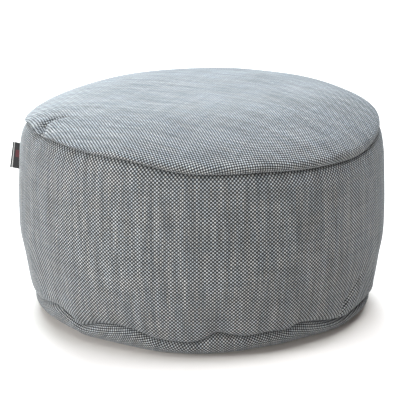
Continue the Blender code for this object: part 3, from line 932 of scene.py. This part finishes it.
def label_piece():
    """The label as a folded sheet: its path goes out, half round the fold and back, and its two faces stand
    half a thickness to each side of the path."""
    half = LABEL_THICKNESS / 2 - LABEL_SHEET / 2
    down = np.linspace(0, 1, LABEL_ROWS)
    across = np.linspace(0, 1, LABEL_COLUMNS)
    turn = np.linspace(-np.pi / 2, np.pi / 2, LABEL_TURNS)[1:-1]
    side = np.array([0.0, 1.0, 0.0])
    bend = -LABEL_CURL * across**2
    paths = []
    for d in down:
        root = label_root(LABEL_ROOT_TOP * (1 - d) + LABEL_ROOT_BOTTOM * d)
        fold_x, fold_z = np.array(LABEL_FOLD_TOP) * (1 - d) + np.array(LABEL_FOLD_BOTTOM) * d
        fold = np.array([fold_x, 0.0, fold_z])
        out = (fold - root) / np.linalg.norm(fold - root)
        middle = root + (fold - out * half - root) * across[:, None]
        go = middle + side * (bend - half)[:, None]
        back = middle + side * (bend + half)[:, None]
        edge = middle[-1] + out * (half * np.cos(turn))[:, None]
        edge = edge + side * (bend[-1] + half * np.sin(turn))[:, None]
        paths.append(np.concatenate([go, edge, back[::-1]]))
    paths = np.array(paths)
    normal = np.cross(np.gradient(paths, axis=1), np.gradient(paths, axis=0))
    normal /= np.linalg.norm(normal, axis=2)[:, :, None]
    rows, columns = paths.shape[:2]
    steps = np.linalg.norm(np.diff(paths, axis=1), axis=2)
    length = steps.sum(1).mean()
    weave = (np.tile(np.concatenate([[0], steps.mean(0).cumsum()]) / length, rows), np.repeat(down, columns))
    surface = Surface()
    grids = []
    for away in (LABEL_SHEET / 2, -LABEL_SHEET / 2):
        grids.append(surface.add(paths + normal * away, weave, 0.0).reshape(rows, columns))
    for k, grid in enumerate(grids):
        for a, b in zip(grid, grid[1:]):
            surface.face(strip(a, b, False), k)
    rim = [np.concatenate([g[0], g[1:, -1], g[-1, -2::-1], g[-2:0:-1, 0]]) for g in grids]
    surface.face(strip(rim[0], rim[1], True), 2)
    places = np.concatenate(surface.weave)
    bake = [lambda p, k=k: LABEL_PLACES[k][0] + places * LABEL_PLACES[k][1] for k in range(3)]
    return surface.build("label_cloth", bake), length


def label_cloth():
    """Near-black ribbed ribbon with a plain red band across its middle and a pale line at its folded edge."""
    m = Nodes("label_ribbon")
    _, along_strip, down = m.weave()
    from_fold = m.math("ABSOLUTE", m.math("SUBTRACT", along_strip, 0.5))
    from_line = m.math("ABSOLUTE", m.math("SUBTRACT", from_fold, LABEL_LINE_PLACE))
    from_middle = m.math("ABSOLUTE", m.math("SUBTRACT", down, LABEL_BAND_MIDDLE))
    band = m.ramp(from_middle, *LABEL_BAND_HALF, 1.0, 0.0)
    band = m.math("MULTIPLY", band, m.ramp(from_fold, *LABEL_BAND_START))
    body = m.mix(band, LABEL_GROUND, LABEL_BAND)
    m.colour(m.mix(m.ramp(from_line, *LABEL_LINE_HALF, 1.0, 0.0), body, LABEL_EDGE))
    ribs = m.math("SINE", m.math("MULTIPLY", down, LABEL_RIBS))
    fine = m.math("SINE", m.math("MULTIPLY", along_strip, LABEL_FINE_RIBS))
    m.bump(m.math("ADD", ribs, m.math("MULTIPLY", fine, LABEL_FINE_SHARE)), *LABEL_BUMP)
    m.plain(LABEL_GLOSS)
    return m.material


# Floor, light and camera
FLOOR_HALF = 14.0
FLOOR_DROP = 0.0006
FLOOR_FINISH = {"Base Color": (0.745, 0.702, 0.662, 1.0), "Roughness": 0.9, "Specular IOR Level": 0.1}
SKY_COLOUR = (1.138, 0.931, 0.931, 1.0)
SKY_STRENGTH = 0.116
LIGHT_COLUMNS = ("name", "x", "y", "z", "aim_x", "aim_y", "size", "power", "spread", "colour")
LIGHTS = (
    ("far_left", -3.4, 0.6, 0.9, 0.0, 0.0, 1.4, 24.0, 180.0, (1.0, 1.0, 1.0)),
    ("key", -3.2, -1.2, 0.8, 0.0, 0.0, 1.2, 87.0, 180.0, (0.95, 0.97, 1.0)),
    ("front", -0.8, -3.4, 0.7, 0.0, 0.0, 1.2, 90.0, 180.0, (0.97, 0.98, 0.97)),
    ("behind", -0.5, 2.3, 2.5, 0.0, 0.0, 2.2, 176.0, 180.0, (0.82, 0.91, 1.0)),
    ("low_behind", -1.2, 3.4, 1.2, 0.0, 0.0, 1.8, 90.0, 180.0, (0.88, 1.0, 1.0)),
    ("above", 0.05, 0.0, 3.2, 0.05, 0.0, 1.4, 4.5, 60.0, (0.82, 0.82, 1.0)),
    ("wide_above", 0.0, 0.0, 3.0, 0.0, 0.0, 3.2, 111.0, 180.0, (0.87, 0.97, 1.0)),
    ("right_floor", 0.85, -0.1, 1.7, 0.75, -0.1, 0.8, 3.6, 70.0, (0.93, 0.96, 1.0)),
)
CAMERA_AIM = (0.0, 0.0, 0.16)
CAMERA_PLACE = (0.0, -4.7815, 1.6219)
CAMERA_LENS = 274.5
CAMERA_FILM = 36.0
CAMERA_SHIFT = (-0.00475, 0.023)


def floor():
    """A wide white floor, one square, a hair under the pouf."""
    mesh = bpy.data.meshes.new("floor")
    corners = ((-1, -1), (1, -1), (1, 1), (-1, 1))
    corners = [(FLOOR_HALF * x, FLOOR_HALF * y, -FLOOR_DROP) for x, y in corners]
    mesh.from_pydata(corners, [], [(0, 1, 2, 3)])
    made = bpy.data.objects.new("floor", mesh)
    bpy.context.collection.objects.link(made)
    m = Nodes("floor_white")
    m.plain(FLOOR_FINISH)
    mesh.materials.append(m.material)


def aimed(made, place, aim):
    """Puts a light or camera in place, facing its aim."""
    made.location = place
    made.rotation_euler = (Vector(aim) - Vector(place)).to_track_quat("-Z", "Y").to_euler()
    bpy.context.collection.objects.link(made)
    return made


def lights():
    """A pale even surround and wide soft lamps."""
    world = bpy.data.worlds.new("studio")
    bpy.context.scene.world = world
    world.use_nodes = True
    surround = world.node_tree.nodes["Background"]
    surround.inputs["Color"].default_value = SKY_COLOUR
    surround.inputs["Strength"].default_value = SKY_STRENGTH
    for row in LIGHTS:
        light = dict(zip(LIGHT_COLUMNS, row))
        lamp = bpy.data.lights.new(light["name"], "AREA")
        lamp.shape = "DISK"
        lamp.size = light["size"]
        lamp.energy = light["power"]
        lamp.color = light["colour"]
        lamp.spread = np.radians(light["spread"])
        made = bpy.data.objects.new(light["name"], lamp)
        aimed(made, (light["x"], light["y"], light["z"]), (light["aim_x"], light["aim_y"], CAMERA_AIM[2]))


def camera():
    """The photograph's view, from a little above the front."""
    lens = bpy.data.cameras.new("camera")
    lens.lens = CAMERA_LENS
    lens.sensor_width = CAMERA_FILM
    lens.shift_x, lens.shift_y = CAMERA_SHIFT
    bpy.context.scene.camera = aimed(bpy.data.objects.new("camera", lens), CAMERA_PLACE, CAMERA_AIM)


def main():
    """Makes and dresses the four padded panels and the label, and sets the floor, the lights and the view."""
    bpy.context.scene.view_settings.view_transform = "Standard"
    padded = (
        (top_piece(), "top_panel", 1000.0, True),
        (side_piece("side_front_cloth", 180.0), "side_panel_front", 2000.0, False),
        (side_piece("side_back_cloth", 0.0), "side_panel_back", 3000.0, False),
        (base_piece(), "base_panel", 4000.0, False),
    )
    for piece, node, seed, calm_middle in padded:
        dressed(piece, woven_cloth(node + "_weave", seed, calm_middle), node)
    label, length = label_piece()
    dressed(label, label_cloth(), "side_label")
    floor()
    lights()
    camera()


main()
